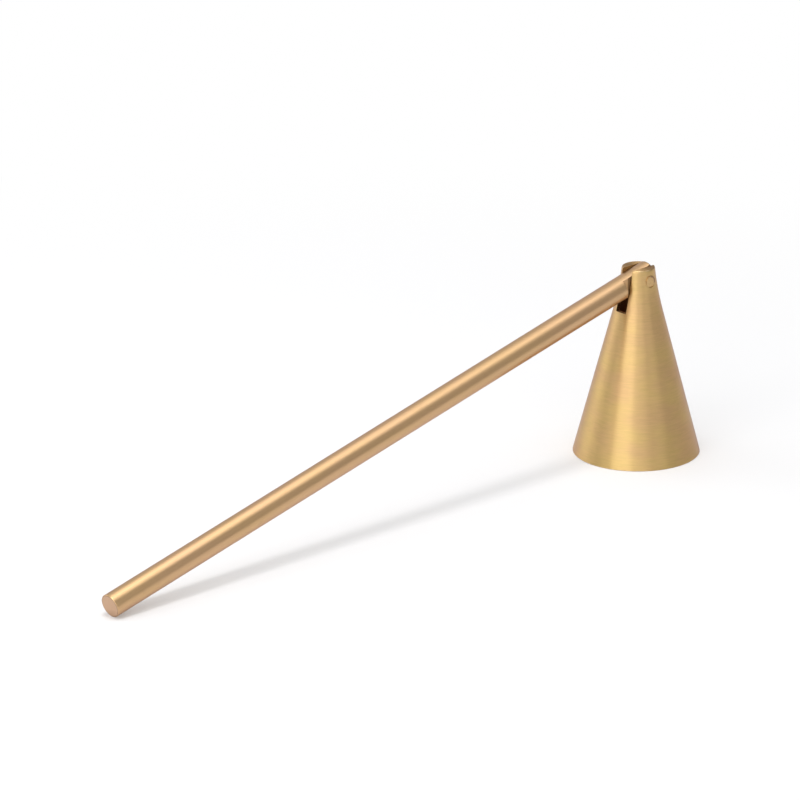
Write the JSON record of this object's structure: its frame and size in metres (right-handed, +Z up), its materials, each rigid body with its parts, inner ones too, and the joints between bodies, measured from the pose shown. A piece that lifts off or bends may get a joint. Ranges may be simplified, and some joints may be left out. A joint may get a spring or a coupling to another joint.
{
  "type": "candle snuffer",
  "caption": "Hand-held candle snuffer: a hollow cone-shaped bell with a slotted neck, pinned so that it swings freely on the end of a long plain round handle.",
  "frame": {"origin": "centre of the bell's mouth, on the plane of the rim that it stands on", "axes": "+Z up along the bell's axis, -X along the handle seen from above, Y along the pivot pin"},
  "size_m": [0.2562, 0.0434, 0.0669],
  "materials": {
    "bell_brass": "satin, fine brush lines round the bell, uncoated",
    "pin_brass": "satin, flat ends level with the neck",
    "handle_brass": "smooth satin, slightly rosier than the bell, bare"
  },
  "bodies": {
    "bell": {"bell": "bell_brass", "pivot_pin": "pin_brass"},
    "handle": {"handle_rod": "handle_brass"}
  },
  "joints": [
    {"name": "handle_swing", "type": "hinge", "parent": "bell", "child": "handle", "pos_m": [0, 0, 0.062], "axis": [0, 1, 0], "range_deg": [-8, 216]}
  ]
}
